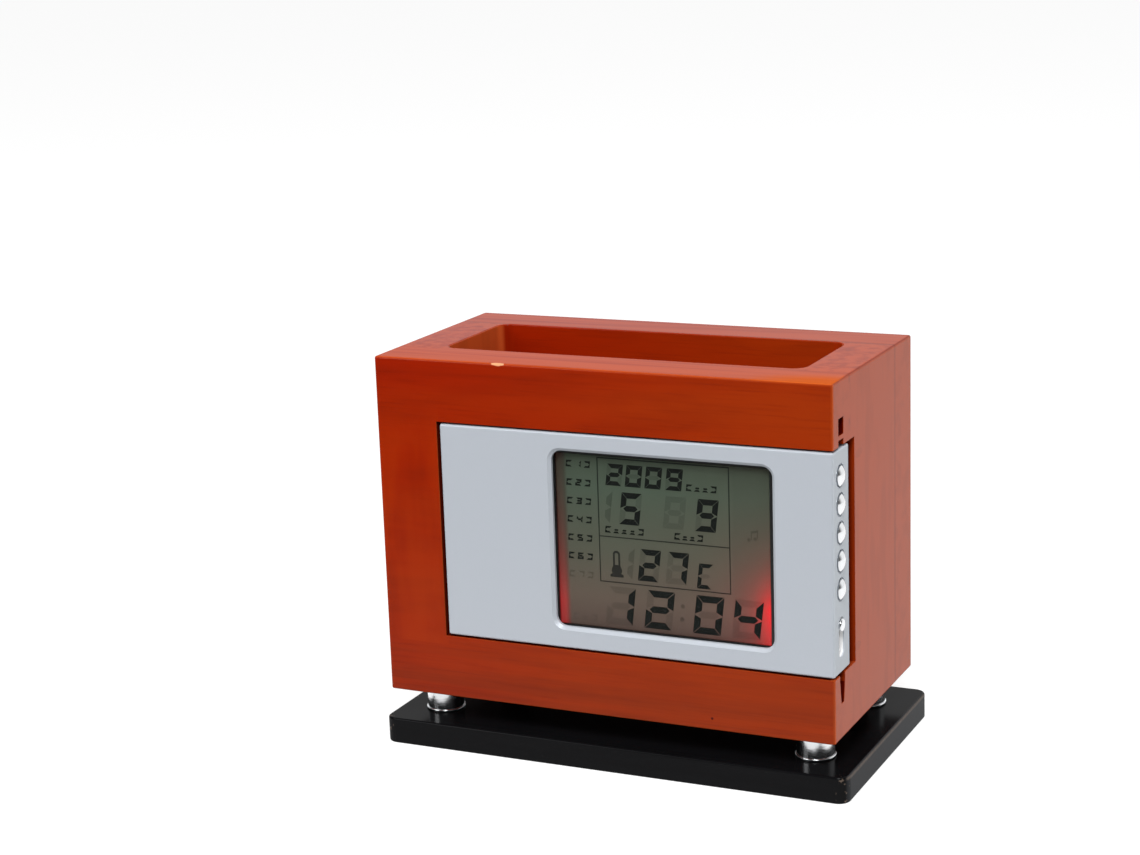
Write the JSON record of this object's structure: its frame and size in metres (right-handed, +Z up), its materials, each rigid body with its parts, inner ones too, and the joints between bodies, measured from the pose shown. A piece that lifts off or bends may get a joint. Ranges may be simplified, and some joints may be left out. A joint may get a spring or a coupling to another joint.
{
  "type": "pen holder clock",
  "caption": "Wooden pen box on a black base with a digital clock, calendar and thermometer module that slides into its front from the side.",
  "frame": {"origin": "centre of the base plate's flat underside, on the surface that the object stands on", "axes": "+X to the right of someone facing the clock, which is the way the clock slides out; +Y to the back; +Z up"},
  "size_m": [0.1426, 0.0754, 0.1159],
  "materials": {
    "lacquered_wood": "red-brown lacquer, semi-gloss, fine straight grain",
    "black_paint": "black satin paint on board",
    "chrome": "bright chrome plate",
    "screw_steel": "zinc plated steel",
    "silver_plastic": "silver paint on moulded plastic, satin",
    "cover_plastic": "silver-grey moulded plastic, fine texture",
    "clear_plastic": "clear polished plastic",
    "lcd": "olive-grey liquid crystal glass",
    "guide_plastic": "milk-white plastic",
    "black_plastic": "black moulded plastic",
    "zebra_rubber": "striped contact rubber",
    "lamp_resin": "red lamp resin",
    "board_laminate": "green lacquered laminate",
    "black_resin": "black potting resin",
    "crystal_can": "nickel plated can",
    "sounder_brass": "thin brass plate with a ceramic disc",
    "sensor_resin": "black resin bead",
    "button_plastic": "bright silver-white plastic, polished",
    "cell_wrap": "printed foil wrap, no lettering",
    "contact_metal": "nickel plated spring sheet"
  },
  "bodies": {
    "holder": {"front_frame": "lacquered_wood", "backing_panel": "lacquered_wood", "left_side_board": "lacquered_wood", "right_side_board": "lacquered_wood", "back_board": "lacquered_wood", "floor_board": "lacquered_wood", "base_plate": "black_paint", "spacer_front_left": "chrome", "spacer_front_right": "chrome", "spacer_rear_left": "chrome", "spacer_rear_right": "chrome", "base_screws": "screw_steel"},
    "clock": {"clock_shell": "silver_plastic", "clock_rear_cover": "cover_plastic", "display_lens": "clear_plastic", "lcd_glass": "lcd", "light_guide": "guide_plastic", "display_holder": "black_plastic", "zebra_connector": "zebra_rubber", "backlight_leds": "lamp_resin", "circuit_board": "board_laminate", "controller_blob": "black_resin", "quartz_crystal": "crystal_can", "buzzer": "sounder_brass", "temperature_sensor": "sensor_resin", "tact_switches": "black_plastic", "slide_switch_body": "black_plastic", "board_screws": "screw_steel", "cover_screws": "screw_steel", "battery_left": "cell_wrap", "battery_right": "cell_wrap", "contact_positive": "contact_metal", "contact_negative": "contact_metal", "contact_bridge": "contact_metal"},
    "battery_door": {"battery_door": "cover_plastic"},
    "slide_knob": {"slide_knob": "button_plastic"},
    "button_1": {"push_button_1": "button_plastic"},
    "button_2": {"push_button_2": "button_plastic"},
    "button_3": {"push_button_3": "button_plastic"},
    "button_4": {"push_button_4": "button_plastic"},
    "button_5": {"push_button_5": "button_plastic"}
  },
  "joints": [
    {"name": "clock_slide", "type": "slide", "parent": "holder", "child": "clock", "axis": [1, 0, 0], "range_m": [0, 0.11]},
    {"name": "battery_door_slide", "type": "slide", "parent": "clock", "child": "battery_door", "axis": [1, 0, 0], "range_m": [0, 0.022]},
    {"name": "button_1_press", "type": "slide", "parent": "clock", "child": "button_1", "axis": [-1, 0, 0], "range_m": [0, 0.0008], "stiffness_N_per_m": 1500},
    {"name": "button_2_press", "type": "slide", "parent": "clock", "child": "button_2", "axis": [-1, 0, 0], "range_m": [0, 0.0008], "stiffness_N_per_m": 1500},
    {"name": "button_3_press", "type": "slide", "parent": "clock", "child": "button_3", "axis": [-1, 0, 0], "range_m": [0, 0.0008], "stiffness_N_per_m": 1500},
    {"name": "button_4_press", "type": "slide", "parent": "clock", "child": "button_4", "axis": [-1, 0, 0], "range_m": [0, 0.0008], "stiffness_N_per_m": 1500},
    {"name": "button_5_press", "type": "slide", "parent": "clock", "child": "button_5", "axis": [-1, 0, 0], "range_m": [0, 0.0008], "stiffness_N_per_m": 1500},
    {"name": "switch_slide", "type": "slide", "parent": "clock", "child": "slide_knob", "axis": [0, 0, -1], "range_m": [0, 0.0068]}
  ]
}
